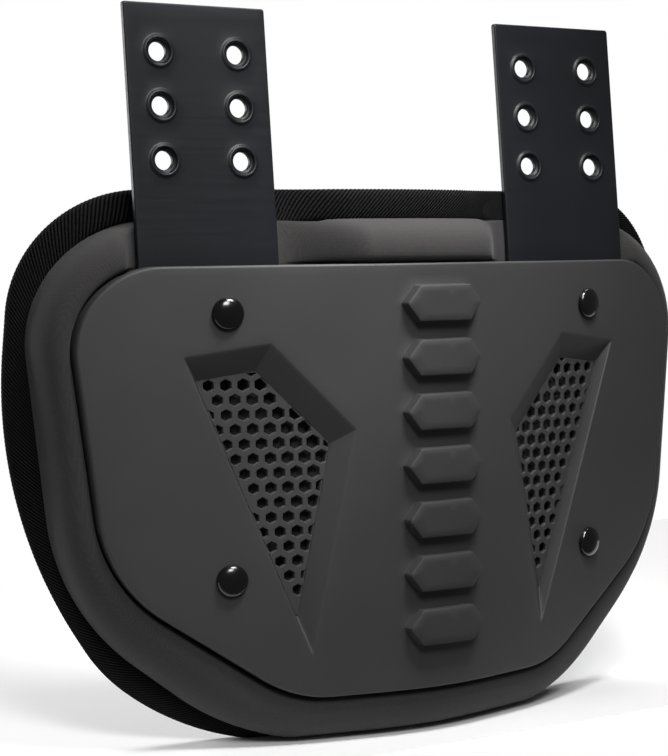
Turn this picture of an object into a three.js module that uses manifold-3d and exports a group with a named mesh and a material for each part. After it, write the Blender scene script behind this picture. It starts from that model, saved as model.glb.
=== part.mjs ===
// Football back plate: a moulded shell over a bound foam pad, with two bolt-on straps and four rivets.
// Millimetres, +Z up. The shell faces -Y and the pad stands on its flattened lower edge.
import * as THREE from 'three';
import { mergeVertices } from 'three/addons/utils/BufferGeometryUtils.js';
import Module from 'manifold-3d';

const wasm = await Module();
wasm.setup();

// Clearance between neighbouring pieces, and how far a cutter reaches past what it cuts
const GAP = 0.3;
const CUT_PAST = 5;

// Plan curve of the plate: round over the spine, then nearly straight wings
const BEND_DEPTH = 7;
const BEND_REACH = 26.2;

// Half outlines seen from the front, from the top edge round to the bottom edge
const SHELL_OUTLINE = [
  { x: 152.7, z: 200, round: 34 },
  { x: 137.7, z: 73.5, round: 60 },
  { x: 64.3, z: 22.5, round: 48 },
];
const ROLL_OUTLINE = [
  { x: 166, z: 219.5, round: 51 },
  { x: 150.5, z: 60.5, round: 93 },
  { x: 77, z: 0, round: 99 },
];
const FLANGE_OUTLINE = [
  { x: 161.5, z: 231.2, round: 54 },
  { x: 172.5, z: 103, round: 200 },
  { x: 131.5, z: 32.5, round: 107 },
  { x: 91.5, z: 0, round: 127 },
];
const COLUMNS = 30;

// The cloth edges are pressed flat at this height, where the plate stands
const REST_HEIGHT = 2;

// Shell
const SHELL_DEPTH = 9.8;
const SHELL_EDGE = 1.6;

// Pad: distances behind the shell's front face
const PAD_FRONT = SHELL_DEPTH + GAP;
const PAD_SEAT_MARGIN = 1;
const ROLL_FACE = [
  { outward: 0.08, behind: 4.4 },
  { outward: 0.26, behind: 3.4 },
  { outward: 0.56, behind: 5 },
  { outward: 0.84, behind: 8.8 },
];
const ROLL_SIDE_FRONT = 13;
const ROLL_SIDE_BACK = 17.5;
const BINDING_FRONT = 23.5;
const BINDING_BACK = 30.1;
const TAPE = 1.5;
const TAPE_WIDTH = 11.5;
const TAPE_CORNER = 1.4;
const TONGUE_INSET = 2.2;
const PAD_CROWN = 1.4;
const PAD_CROWN_INSET = 30;

// Vent pockets, right side: a rim on the shell's face and a smaller floor behind it
const VENT_CORNERS = [
  { name: 'apex', rimX: 57.4, rimZ: 40, floorX: 61.1, floorZ: 54.8 },
  { name: 'inner', rimX: 38.3, rimZ: 132.5, floorX: 46.5, floorZ: 126.8 },
  { name: 'top inner', rimX: 72.5, rimZ: 168.4, floorX: 76.6, floorZ: 157.5 },
  { name: 'top outer', rimX: 107.4, rimZ: 163.7, floorX: 100.9, floorZ: 154 },
];
const VENT_DEPTH = 5.5;
const VENT_LEDGE = 1.6;
const VENT_MOUTH = 0.6;
const GRILLE_THICKNESS = 2;
const HEX_PITCH = 7;
const HEX_INNER = 5.2;
const HEX_OUTER = 4;
const HEX_MARGIN = 0.9;
const HEX_GROWTH = 1.4;

// Centre column of plain raised bars
const BAR_COUNT = 7;
const BAR_LOWEST = 49;
const BAR_HIGHEST = 183.5;
const BAR_HALF_WIDTH = 18.5;
const BAR_HALF_HEIGHT = 7.6;
const BAR_POINT = 6;
const BAR_RAISE = 5;
const BAR_EDGE = 1;
const BAR_ROOT = 3;

// Rivets, right side
const RIVET_X = 89.8;
const RIVET_HEIGHTS = { top: 180.9, bottom: 73.3 };
const RIVET_HEAD_RADIUS = 6.6;
const RIVET_HEAD_EDGE = 0.8;
const RIVET_DOME = 2.6;
const RIVET_SHANK_RADIUS = 3;
const RIVET_TAIL_RADIUS = 6;
const RIVET_TAIL_START = 20.6;
const RIVET_TAIL_END = 21.8;
const RIVET_SIDES = 16;

// Straps, right side: flat below the shell's top edge, then leaning back
const STRAP = { x: 89.8, y: 33, z: 200, lean: 5.7 };
const STRAP_WIDTH = 63.5;
const STRAP_THICKNESS = 3;
const STRAP_FOOT = -38;
const STRAP_LENGTH = 105.8;
const STRAP_FOLD = 8;
const STRAP_CLIP = 9;
const STRAP_CORNER = 2;
const STRAP_CHANNEL = -40;
const HOLE_RADIUS = 3.85;
const HOLE_RING_RADIUS = 6.5;
const HOLE_RING_RAISE = 0.8;
const HOLE_RING_ROOT = 1;
const HOLE_COLUMNS = [-17.5, 17.5];
const HOLE_ROWS = [42.4, 64.3, 86.2];
const HOLE_SIDES = 16;

const PLASTIC = { color: 0x3a3a3b, roughness: 0.6, metalness: 0 };
const MESH_PLASTIC = { color: 0x4a4a4b, roughness: 0.7, metalness: 0 };
const CLOTH = { color: 0x3d3b3b, roughness: 0.95, metalness: 0 };
const TAPE_CLOTH = { color: 0x141414, roughness: 0.95, metalness: 0 };
const STRAP_PLASTIC = { color: 0x25272a, roughness: 0.5, metalness: 0 };
const RIVET_GLOSS = { color: 0x0a0a0a, roughness: 0.12, metalness: 0 };

function bendY(x) {
  return BEND_DEPTH * (Math.sqrt(1 + (x / BEND_REACH) ** 2) - 1);
}

function bendSlope(x) {
  return (BEND_DEPTH * x) / (BEND_REACH ** 2 * Math.sqrt(1 + (x / BEND_REACH) ** 2));
}

// A clockwise loop of { x, z } corners moved out by a distance; a minus sign moves it in
function offsetLoop(loop, by) {
  const lines = loop.map((start, i) => {
    const end = loop[(i + 1) % loop.length];
    const along = new THREE.Vector2(end.x - start.x, end.z - start.z).normalize();
    const normal = new THREE.Vector2(-along.y, along.x);
    return { normal, reach: normal.x * start.x + normal.y * start.z + by };
  });
  return loop.map((corner, i) => {
    const a = lines[(i + lines.length - 1) % lines.length];
    const b = lines[i];
    const det = a.normal.x * b.normal.y - a.normal.y * b.normal.x;
    const x = (a.reach * b.normal.y - b.reach * a.normal.y) / det;
    const z = (b.reach * a.normal.x - a.reach * b.normal.x) / det;
    return { ...corner, x, z };
  });
}

// A half outline grown all round, with its corner radii
function grown(corners, by) {
  const mirrored = corners.map((corner) => ({ ...corner, x: -corner.x })).reverse();
  const loop = offsetLoop([...corners, ...mirrored], by);
  return loop.slice(0, corners.length).map((corner) => ({ ...corner, round: corner.round + by }));
}

// The right half of an outline as points, with an arc at each corner
function halfOutline(corners) {
  const last = corners[corners.length - 1];
  const stops = [{ x: 0, z: corners[0].z }, ...corners, { x: 0, z: last.z }];
  const path = new THREE.Path().moveTo(0, corners[0].z);
  corners.forEach((corner, i) => {
    const at = new THREE.Vector2(corner.x, corner.z);
    const back = new THREE.Vector2(stops[i].x, stops[i].z).sub(at).normalize();
    const on = new THREE.Vector2(stops[i + 2].x, stops[i + 2].z).sub(at).normalize();
    const halfTurn = (Math.PI - Math.acos(back.dot(on))) / 2;
    const reach = corner.round * Math.tan(halfTurn);
    const start = at.clone().addScaledVector(back, reach);
    const end = at.clone().addScaledVector(on, reach);
    const middle = back.clone().add(on).normalize();
    const centre = at.clone().addScaledVector(middle, corner.round / Math.cos(halfTurn));
    const from = Math.atan2(start.y - centre.y, start.x - centre.x);
    const to = Math.atan2(end.y - centre.y, end.x - centre.x);
    path.absarc(centre.x, centre.y, corner.round, from, to, true);
  });
  path.lineTo(0, last.z);
  return path.getPoints(12);
}

// Height of a branch of an outline at x; the branch's points run outward from the middle
function heightAt(branch, x) {
  const k = Math.max(1, branch.findIndex((point) => point.x >= x - 1e-6));
  const a = branch[k - 1];
  const b = branch[k];
  const t = b.x === a.x ? 1 : THREE.MathUtils.clamp((x - a.x) / (b.x - a.x), 0, 1);
  return a.y + (b.y - a.y) * t;
}

// A whole outline as a ring: along the top from left to right, then back along the bottom.
// Upper and lower points share their columns, so a flat cap follows the bend exactly.
function outlineRing(corners) {
  const points = halfOutline(corners);
  const widest = points.reduce((best, point, i) => (point.x > points[best].x ? i : best), 0);
  const upper = points.slice(0, widest + 1);
  const lower = points.slice(widest).reverse();
  const ring = [];
  for (let i = 0; i < 2 * COLUMNS; i++) {
    const x = -points[widest].x * Math.cos((Math.PI * i) / COLUMNS);
    const branch = i <= COLUMNS ? upper : lower;
    ring.push({ x, z: heightAt(branch, Math.abs(x)) });
  }
  return ring;
}

function mixRings(a, b, t) {
  return a.map((point, i) => ({
    x: THREE.MathUtils.lerp(point.x, b[i].x, t),
    z: THREE.MathUtils.lerp(point.z, b[i].z, t),
  }));
}

// A ring of the flange or the roll, moved in from its outline and flat where the plate stands
function clothRing(corners, inset) {
  const lowest = REST_HEIGHT + inset;
  return outlineRing(grown(corners, -inset)).map(({ x, z }) => ({ x, z: Math.max(z, lowest) }));
}

// A ring on the plate's bend, a distance behind the shell's front face
function placed(ring, behind) {
  return ring.map((point) => new THREE.Vector3(point.x, bendY(point.x) + behind, point.z));
}

// Triangles between rings of points, turned to face outward
function solidFrom(points, triangles) {
  let volume = 0;
  for (const [a, b, c] of triangles) {
    volume += points[a].dot(new THREE.Vector3().crossVectors(points[b], points[c]));
  }
  const facing = volume > 0 ? triangles : triangles.map(([a, b, c]) => [a, c, b]);
  const vertProperties = new Float32Array(points.flatMap((point) => point.toArray()));
  const triVerts = new Uint32Array(facing.flat());
  return new wasm.Manifold(new wasm.Mesh({ numProp: 3, vertProperties, triVerts }));
}

function bandTriangles(from, to, count) {
  const triangles = [];
  for (let i = 0; i < count; i++) {
    const next = (i + 1) % count;
    triangles.push([from + i, from + next, to + next]);
    triangles.push([from + i, to + next, to + i]);
  }
  return triangles;
}

// A cap across a ring, column by column
function columnCap(first, count, flip) {
  const triangles = [];
  const half = count / 2;
  for (let i = 0; i < half; i++) {
    const upper = [first + i, first + i + 1];
    const lower = [first + ((count - i) % count), first + count - i - 1];
    if (i > 0) {
      triangles.push(flip ? [upper[0], lower[0], upper[1]] : [upper[0], upper[1], lower[0]]);
    }
    if (i < half - 1) {
      triangles.push(flip ? [lower[0], lower[1], upper[1]] : [lower[0], upper[1], lower[1]]);
    }
  }
  return triangles;
}

function fanCap(first, count, flip) {
  const triangles = [];
  for (let i = 1; i < count - 1; i++) {
    triangles.push(flip ? [first, first + i + 1, first + i] : [first, first + i, first + i + 1]);
  }
  return triangles;
}

// A closed solid through rings of points, capped at both ends
function loft(rings, cap) {
  const count = rings[0].length;
  const lastFirst = (rings.length - 1) * count;
  const triangles = [...cap(0, count, true), ...cap(lastFirst, count, false)];
  for (let k = 0; k + 1 < rings.length; k++) {
    triangles.push(...bandTriangles(k * count, (k + 1) * count, count));
  }
  return solidFrom(rings.flat(), triangles);
}

// A closed hoop through rings of points: the last ring joins the first
function hoop(rings) {
  const count = rings[0].length;
  const triangles = rings.flatMap((ring, k) => {
    return bandTriangles(k * count, ((k + 1) % rings.length) * count, count);
  });
  return solidFrom(rings.flat(), triangles);
}

function solidFromGeometry(geometry) {
  const bare = geometry.clone();
  bare.deleteAttribute('normal');
  bare.deleteAttribute('uv');
  const merged = mergeVertices(bare, 1e-4);
  const vertProperties = new Float32Array(merged.attributes.position.array);
  const triVerts = new Uint32Array(merged.index.array);
  return new wasm.Manifold(new wasm.Mesh({ numProp: 3, vertProperties, triVerts }));
}

function geometryFromSolid(solid) {
  const { vertProperties, triVerts } = solid.getMesh();
  const geometry = new THREE.BufferGeometry();
  geometry.setAttribute('position', new THREE.BufferAttribute(new Float32Array(vertProperties), 3));
  geometry.setIndex(new THREE.BufferAttribute(new Uint32Array(triVerts), 1));
  return geometry;
}

// The same shape on the other side of the spine
function mirrored(geometry) {
  const other = geometry.clone().scale(-1, 1, 1);
  const index = other.index.array;
  for (let i = 0; i < index.length; i += 3) {
    [index[i], index[i + 1]] = [index[i + 1], index[i]];
  }
  return other;
}

function bothSides(solid) {
  return solid.add(solidFromGeometry(mirrored(geometryFromSolid(solid))));
}

function ventFloorY(x) {
  const inner = VENT_CORNERS[1].floorX;
  const outer = VENT_CORNERS[3].floorX;
  const slope = (bendY(outer) - bendY(inner)) / (outer - inner);
  return bendY(inner) + VENT_DEPTH + slope * (x - inner);
}

function ventFloorLoop(inset) {
  const floor = VENT_CORNERS.map((corner) => ({ x: corner.floorX, z: corner.floorZ }));
  return offsetLoop(floor, -inset);
}

// A straight-sided block over a loop, between two distances behind the vent's floor
function ventBlock(loop, from, to) {
  const rings = [from, to].map((behind) => {
    return loop.map((point) => new THREE.Vector3(point.x, ventFloorY(point.x) + behind, point.z));
  });
  return loft(rings, fanCap);
}

// What one pocket takes out of the shell: sloped walls, a seat for the mesh and a window behind it
function ventCutter() {
  const floor = VENT_CORNERS.map((c) => new THREE.Vector3(c.floorX, ventFloorY(c.floorX), c.floorZ));
  const rim = VENT_CORNERS.map((c) => new THREE.Vector3(c.rimX, bendY(c.rimX), c.rimZ));
  const mouth = rim.map((point, i) => point.clone().lerp(floor[i], -VENT_MOUTH));
  const walls = loft([mouth, floor], fanCap);
  const seat = ventBlock(ventFloorLoop(0), -GAP, GRILLE_THICKNESS + GAP);
  const window = ventBlock(ventFloorLoop(VENT_LEDGE), 0, 2 * SHELL_DEPTH);
  return walls.add(seat).add(window);
}

function insideLoop(loop, x, z, margin) {
  return offsetLoop(loop, -margin).every((start, i, inner) => {
    const end = inner[(i + 1) % inner.length];
    return (end.x - start.x) * (z - start.z) - (end.z - start.z) * (x - start.x) < 0;
  });
}

function hexPath(x, z, acrossFlats) {
  const radius = acrossFlats / Math.sqrt(3);
  const path = new THREE.Path();
  for (let k = 0; k < 6; k++) {
    const angle = Math.PI / 6 + (k * Math.PI) / 3;
    const corner = [x + radius * Math.cos(angle), z + radius * Math.sin(angle)];
    if (k === 0) {
      path.moveTo(...corner);
    } else {
      path.lineTo(...corner);
    }
  }
  path.closePath();
  return path;
}

// The hexagon mesh of one pocket: whole holes only, smaller towards the outer side
function grilleGeometry() {
  const loop = ventFloorLoop(GAP);
  const shape = new THREE.Shape(loop.map((point) => new THREE.Vector2(point.x, point.z)));
  const [apex, inner, , outer] = ventFloorLoop(0);
  const rowPitch = (HEX_PITCH * Math.sqrt(3)) / 2;
  const rows = Math.ceil((outer.z - apex.z) / rowPitch) + 1;
  const perRow = Math.ceil((outer.x - inner.x) / HEX_PITCH) + 1;
  for (let row = 0; row <= rows; row++) {
    const z = apex.z + row * rowPitch;
    for (let k = 0; k <= perRow; k++) {
      const x = inner.x + (k + (row % 2) / 2) * HEX_PITCH;
      const edgeX = THREE.MathUtils.mapLinear(z, apex.z, outer.z, apex.x, outer.x);
      const share = THREE.MathUtils.clamp((HEX_GROWTH * (edgeX - x)) / (outer.x - inner.x), 0, 1);
      const acrossFlats = THREE.MathUtils.lerp(HEX_OUTER, HEX_INNER, share);
      if (insideLoop(loop, x, z, acrossFlats / 2 + HEX_MARGIN)) {
        shape.holes.push(hexPath(x, z, acrossFlats));
      }
    }
  }
  const geometry = new THREE.ExtrudeGeometry(shape, { depth: GRILLE_THICKNESS, bevelEnabled: false });
  const place = geometry.attributes.position;
  for (let i = 0; i < place.count; i++) {
    const x = place.getX(i);
    place.setXYZ(i, x, ventFloorY(x) + GRILLE_THICKNESS - place.getZ(i), place.getY(i));
  }
  return geometryFromSolid(solidFromGeometry(geometry));
}

// One raised bar: a long flat hexagon rooted in the shell
function barSolid(z) {
  const inner = BAR_HALF_WIDTH - BAR_POINT;
  const loop = [
    { x: -BAR_HALF_WIDTH, z },
    { x: -inner, z: z + BAR_HALF_HEIGHT },
    { x: inner, z: z + BAR_HALF_HEIGHT },
    { x: BAR_HALF_WIDTH, z },
    { x: inner, z: z - BAR_HALF_HEIGHT },
    { x: -inner, z: z - BAR_HALF_HEIGHT },
  ];
  const top = offsetLoop(loop, -BAR_EDGE);
  const rings = [placed(top, -BAR_RAISE), placed(loop, BAR_EDGE - BAR_RAISE), placed(loop, BAR_ROOT)];
  return loft(rings, fanCap);
}

// Turns and moves something made along +Y onto the shell's outward normal at a rivet
function rivetMatrix(z) {
  const normal = new THREE.Vector3(bendSlope(RIVET_X), -1, 0).normalize();
  const turn = new THREE.Quaternion().setFromUnitVectors(new THREE.Vector3(0, 1, 0), normal);
  const place = new THREE.Vector3(RIVET_X, bendY(RIVET_X), z);
  return new THREE.Matrix4().compose(place, turn, new THREE.Vector3(1, 1, 1));
}

// Domed head, shank and a flat tail behind the strap, in one piece
function rivetGeometry() {
  const profile = [
    [0, -RIVET_TAIL_END],
    [RIVET_TAIL_RADIUS, -RIVET_TAIL_END],
    [RIVET_TAIL_RADIUS, -RIVET_TAIL_START],
    [RIVET_SHANK_RADIUS, -RIVET_TAIL_START],
    [RIVET_SHANK_RADIUS, GAP],
    [RIVET_HEAD_RADIUS, GAP],
  ];
  const domeSteps = 5;
  for (let k = 0; k <= domeSteps; k++) {
    const angle = (k / domeSteps) * (Math.PI / 2);
    const radius = k === domeSteps ? 0 : RIVET_HEAD_RADIUS * Math.cos(angle);
    profile.push([radius, GAP + RIVET_HEAD_EDGE + RIVET_DOME * Math.sin(angle)]);
  }
  const points = profile.map(([radius, height]) => new THREE.Vector2(radius, height));
  return new THREE.LatheGeometry(points, RIVET_SIDES);
}

// A round cutter on a rivet's axis, between two depths behind the shell's face
function rivetBore(z, radius, from, to) {
  const geometry = new THREE.CylinderGeometry(radius, radius, to - from, RIVET_SIDES);
  geometry.translate(0, -(from + to) / 2, 0);
  return solidFromGeometry(geometry.applyMatrix4(rivetMatrix(z)));
}

// A point on the right strap: across it, along it from the shell's top edge, and behind its face
function strapPoint(across, along, behind) {
  const lean = THREE.MathUtils.degToRad(STRAP.lean);
  const folding = THREE.MathUtils.clamp(along, 0, STRAP_FOLD);
  const free = Math.max(0, along - STRAP_FOLD);
  const setBack = folding * Math.tan(lean / 2) + free * Math.tan(lean);
  return new THREE.Vector3(STRAP.x + across, STRAP.y + behind + setBack, STRAP.z + along);
}

// A length of strap, or of the room that it needs
function strapLoft(rows) {
  const rings = rows.map(({ along, half, front, back }) => [
    strapPoint(-half, along, front),
    strapPoint(half, along, front),
    strapPoint(half, along, back),
    strapPoint(-half, along, back),
  ]);
  return loft(rings, fanCap);
}

function strapRoom(front, foot, end) {
  const half = STRAP_WIDTH / 2 + GAP;
  const back = STRAP_THICKNESS + GAP;
  return strapLoft([foot, 0, STRAP_FOLD, end].map((along) => ({ along, half, front, back })));
}

// A short cylinder or bore square to the strap at one of its holes
function strapRound(across, along, radius, from, to) {
  const geometry = new THREE.CylinderGeometry(radius, radius, to - from, HOLE_SIDES);
  const middle = strapPoint(across, along, (from + to) / 2);
  geometry.rotateX(THREE.MathUtils.degToRad(STRAP.lean));
  geometry.translate(middle.x, middle.y, middle.z);
  return solidFromGeometry(geometry);
}

function strapGeometry() {
  const half = STRAP_WIDTH / 2;
  const [front, back] = [0, STRAP_THICKNESS];
  let solid = strapLoft([
    { along: STRAP_FOOT, half: half - STRAP_CLIP, front, back },
    { along: STRAP_FOOT + STRAP_CLIP, half, front, back },
    { along: 0, half, front, back },
    { along: STRAP_FOLD, half, front, back },
    { along: STRAP_LENGTH - STRAP_CORNER, half, front, back },
    { along: STRAP_LENGTH, half: half - STRAP_CORNER, front, back },
  ]);
  for (const across of HOLE_COLUMNS) {
    for (const along of HOLE_ROWS) {
      const ring = strapRound(across, along, HOLE_RING_RADIUS, -HOLE_RING_RAISE, HOLE_RING_ROOT);
      const hole = strapRound(across, along, HOLE_RADIUS, -CUT_PAST, STRAP_THICKNESS + CUT_PAST);
      solid = solid.add(ring).subtract(hole);
    }
  }
  const boreRadius = RIVET_SHANK_RADIUS + 2 * GAP;
  const bore = rivetBore(RIVET_HEIGHTS.top, boreRadius, 0, RIVET_TAIL_END + CUT_PAST);
  return geometryFromSolid(solid.subtract(bore));
}

function shellGeometry() {
  const edge = outlineRing(SHELL_OUTLINE);
  const face = outlineRing(grown(SHELL_OUTLINE, -SHELL_EDGE));
  let solid = loft([
    placed(face, 0),
    placed(edge, SHELL_EDGE),
    placed(edge, SHELL_DEPTH - SHELL_EDGE),
    placed(face, SHELL_DEPTH),
  ], columnCap);
  for (let k = 0; k < BAR_COUNT; k++) {
    solid = solid.add(barSolid(THREE.MathUtils.lerp(BAR_LOWEST, BAR_HIGHEST, k / (BAR_COUNT - 1))));
  }
  let cutter = ventCutter().add(strapRoom(-GAP, STRAP_FOOT - GAP, STRAP_FOLD));
  for (const z of Object.values(RIVET_HEIGHTS)) {
    cutter = cutter.add(rivetBore(z, RIVET_SHANK_RADIUS + GAP, -CUT_PAST, RIVET_TAIL_END));
  }
  return geometryFromSolid(solid.subtract(bothSides(cutter)));
}

function padGeometry() {
  const shell = outlineRing(SHELL_OUTLINE);
  const roll = clothRing(ROLL_OUTLINE, 0);
  const base = clothRing(FLANGE_OUTLINE, TAPE_WIDTH);
  const tongue = clothRing(FLANGE_OUTLINE, TONGUE_INSET);
  const crown = clothRing(FLANGE_OUTLINE, PAD_CROWN_INSET);
  const tongueFront = BINDING_FRONT + TAPE + GAP;
  const tongueBack = BINDING_BACK - TAPE - GAP;
  const solid = loft([
    placed(outlineRing(grown(SHELL_OUTLINE, PAD_SEAT_MARGIN)), PAD_FRONT),
    ...ROLL_FACE.map(({ outward, behind }) => placed(mixRings(shell, roll, outward), behind)),
    placed(roll, ROLL_SIDE_FRONT),
    placed(roll, ROLL_SIDE_BACK),
    placed(base, BINDING_FRONT),
    placed(base, tongueFront),
    placed(tongue, tongueFront),
    placed(tongue, tongueBack),
    placed(base, tongueBack),
    placed(base, BINDING_BACK),
    placed(crown, BINDING_BACK + PAD_CROWN),
  ], columnCap);
  let cutter = strapRoom(STRAP_CHANNEL, STRAP_FOOT - GAP, STRAP_LENGTH);
  for (const z of Object.values(RIVET_HEIGHTS)) {
    cutter = cutter.add(rivetBore(z, RIVET_TAIL_RADIUS + GAP, 0, RIVET_TAIL_END + GAP));
  }
  return geometryFromSolid(solid.subtract(bothSides(cutter)));
}

// Folded tape round the flange: a front leg, the outer edge and a back leg, pressed flat by the straps
function bindingGeometry() {
  const edge = clothRing(FLANGE_OUTLINE, 0);
  const shoulder = clothRing(FLANGE_OUTLINE, TAPE_CORNER);
  const inside = clothRing(FLANGE_OUTLINE, TONGUE_INSET - GAP);
  const leg = clothRing(FLANGE_OUTLINE, TAPE_WIDTH - GAP);
  const solid = hoop([
    placed(leg, BINDING_FRONT + TAPE),
    placed(leg, BINDING_FRONT),
    placed(shoulder, BINDING_FRONT),
    placed(edge, BINDING_FRONT + TAPE_CORNER),
    placed(edge, BINDING_BACK - TAPE_CORNER),
    placed(shoulder, BINDING_BACK),
    placed(leg, BINDING_BACK),
    placed(leg, BINDING_BACK - TAPE),
    placed(inside, BINDING_BACK - TAPE),
    placed(inside, BINDING_FRONT + TAPE),
  ]);
  const cutter = strapRoom(STRAP_CHANNEL, STRAP_FOOT - GAP, STRAP_LENGTH);
  return geometryFromSolid(solid.subtract(bothSides(cutter)));
}

const plate = new THREE.Group();

function addPiece(name, geometry, finish) {
  const mesh = new THREE.Mesh(geometry, new THREE.MeshStandardMaterial(finish));
  mesh.name = name;
  plate.add(mesh);
}

function addPair(name, geometry, finish) {
  addPiece(`${name}_right`, geometry, finish);
  addPiece(`${name}_left`, mirrored(geometry), finish);
}

addPiece('shell', shellGeometry(), PLASTIC);
addPiece('pad', padGeometry(), CLOTH);
addPiece('binding', bindingGeometry(), TAPE_CLOTH);
addPair('vent_grille', grilleGeometry(), MESH_PLASTIC);
addPair('strap', strapGeometry(), STRAP_PLASTIC);
for (const [level, z] of Object.entries(RIVET_HEIGHTS)) {
  const rivet = solidFromGeometry(rivetGeometry().applyMatrix4(rivetMatrix(z)));
  addPair(`rivet_${level}`, geometryFromSolid(rivet), RIVET_GLOSS);
}

// The origin is under the middle of the whole plate, where it stands
const box = new THREE.Box3().setFromObject(plate);
plate.position.set(0, -(box.min.y + box.max.y) / 2, -box.min.z);

export default plate;
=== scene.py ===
import math

import bmesh
import bpy
import numpy as np
from mathutils import Matrix, Vector, geometry, kdtree


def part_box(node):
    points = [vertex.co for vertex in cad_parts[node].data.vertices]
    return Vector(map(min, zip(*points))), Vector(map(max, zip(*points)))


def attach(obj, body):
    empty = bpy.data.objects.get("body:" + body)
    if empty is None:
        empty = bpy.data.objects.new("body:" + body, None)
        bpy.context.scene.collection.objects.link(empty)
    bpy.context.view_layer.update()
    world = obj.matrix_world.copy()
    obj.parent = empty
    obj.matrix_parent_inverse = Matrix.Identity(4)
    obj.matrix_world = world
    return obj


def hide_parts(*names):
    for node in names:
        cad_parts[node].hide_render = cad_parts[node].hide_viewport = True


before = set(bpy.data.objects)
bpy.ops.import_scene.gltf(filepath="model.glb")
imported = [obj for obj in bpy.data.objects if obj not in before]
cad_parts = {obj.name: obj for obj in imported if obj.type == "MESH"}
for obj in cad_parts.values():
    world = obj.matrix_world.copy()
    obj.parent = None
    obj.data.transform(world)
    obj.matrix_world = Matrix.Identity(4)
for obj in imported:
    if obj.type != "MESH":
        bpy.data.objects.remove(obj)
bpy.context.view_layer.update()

# Sizes are millimetres in the plate's own frame: x across, y behind the front of the shell at the
# spine, z up. Meshes are written in metres in the shared frame.
MM = 0.001

# Plan curve of the plate: round over the spine, then nearly straight wings
BEND_DEPTH = 7.0
BEND_REACH = 26.2

# Half outlines seen from the front as (x, z, corner radius), from the top edge to the bottom edge
SHELL_OUTLINE = [(152.7, 200.0, 34.0), (137.7, 73.5, 60.0), (64.3, 22.5, 48.0)]
ROLL_OUTLINE = [(166.0, 219.5, 51.0), (150.5, 60.5, 93.0), (77.0, 0.0, 99.0)]
FLANGE_OUTLINE = [(161.5, 231.2, 54.0), (172.5, 103.0, 200.0), (131.5, 32.5, 70.0), (91.5, 0.0, 108.0)]
SHELL_TOP = 200.0
REST_HEIGHT = 2.0

# The pad's and the tape's rings lie on rays from this point of the front view
RAY_MIDDLE = np.array([0.0, 110.0])

# Fineness of the meshes: steps along outlines and round corners, and the pitch of flat areas
OUTLINE_STEP = 2.6
RAY_STEP = 1.0
LEAST_ARC_STEPS = 6
CORNER_STEPS = 5
EDGE_STEPS = 6
FACE_PITCH = 3.2
# Points inside a flat area keep this share of the pitch from its loops
SEED_CLEAR = 0.7
FLAT_TOLERANCE = 1e-5
# Points nearer than the weld are joined, and edges shorter than a sliver are dissolved
WELD = 0.002
SLIVER = 0.001

# Straight runs of a loop bow by this much, so that no three of their points lie on a line
RUN_BOW = 0.01

# Edges sharper than this stay sharp, in degrees
SHARP_ANGLE = 40.0
PAD_SHARP_ANGLE = 60.0
TAPE_SHARP_ANGLE = 75.0
GRILLE_SHARP_ANGLE = 30.0

# Shell
SHELL_DEPTH = 9.8
SHELL_EDGE = 1.1

# Vent pockets, right side, as (rim x, rim z, floor x, floor z): apex, inner, top inner, top outer
VENT_CORNERS = [
    (57.4, 40.0, 61.1, 54.8),
    (38.3, 132.5, 46.5, 126.8),
    (72.5, 168.4, 76.6, 157.5),
    (107.4, 163.7, 100.9, 154.0),
]
VENT_RIM = [corner[:2] for corner in VENT_CORNERS]
VENT_FLOOR = [corner[2:] for corner in VENT_CORNERS]
VENT_DEPTH = 5.5
VENT_ROUND = 0.5
VENT_LIP = 0.7
VENT_LIP_RINGS = 5
VENT_SHOULDER = 0.12
VENT_SIDE_STEPS = 24

# Mesh at the floor of a pocket, with its frame and its hexagonal holes
GRILLE_THICKNESS = 2.0
GRILLE_GAP = 0.15
GRILLE_FRAME = 0.45
HEX_PITCH = 7.0
HEX_INNER = 5.2
HEX_OUTER = 4.0
HEX_GROWTH = 1.4
HEX_CHAMFER = 0.24
HEX_TOUCH = 1e-3
# A hole's middle may lie outside the frame by this share of its size; spare rows past it are tried
HEX_OVERHANG = 0.25
HEX_SPARE = 4

# Centre column of plain raised bars, with their edge as (growth, distance behind the face)
BAR_HEIGHTS = np.linspace(49.0, 183.5, 7)
BAR_HALF_WIDTH = 18.5
BAR_HALF_HEIGHT = 7.6
BAR_POINT = 6.0
BAR_ROUND = 1.0
BAR_SIDE_STEPS = 10
BAR_PROFILE = [(0.5, 0.0), (0.15, -0.12), (0.0, -0.5), (-0.15, -4.1), (-0.35, -4.7), (-0.95, -5.0)]

# Pad: the roll's section as (share of the way from shell to roll edge, distance behind the face)
ROLL_SECTION = [
    (-0.3, 10.5), (-0.1, 10.5), (0.03, 10.3), (0.04, 7.4), (0.05, 5.8), (0.07, 4.7), (0.11, 3.9), (0.17, 3.4),
    (0.25, 3.2), (0.34, 3.3), (0.43, 3.6), (0.52, 4.2), (0.6, 5.0), (0.68, 6.2), (0.75, 7.6), (0.81, 9.2),
    (0.86, 11.0), (0.9, 13.0), (0.93, 15.2), (0.95, 17.5), (0.96, 20.0), (0.965, 21.8), (0.967, 22.0),
]
# Then to the flange's edge, which lies in the tape's fold: (share of the way, distance behind the face)
ROLL_BACK = [(0.0, 24.2), (0.4, 25.3), (1.0, 26.0)]
# Then along the back: (inset from the flange's outline, distance behind the face)
PAD_BACK = [(11.5, 28.6), (12.2, 29.8), (14.0, 30.6), (18.0, 31.1), (30.0, 31.5)]
PAD_STEPS = 460
PAD_MIDDLE_SHARES = np.linspace(0.92, 0.05, 15)

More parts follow.
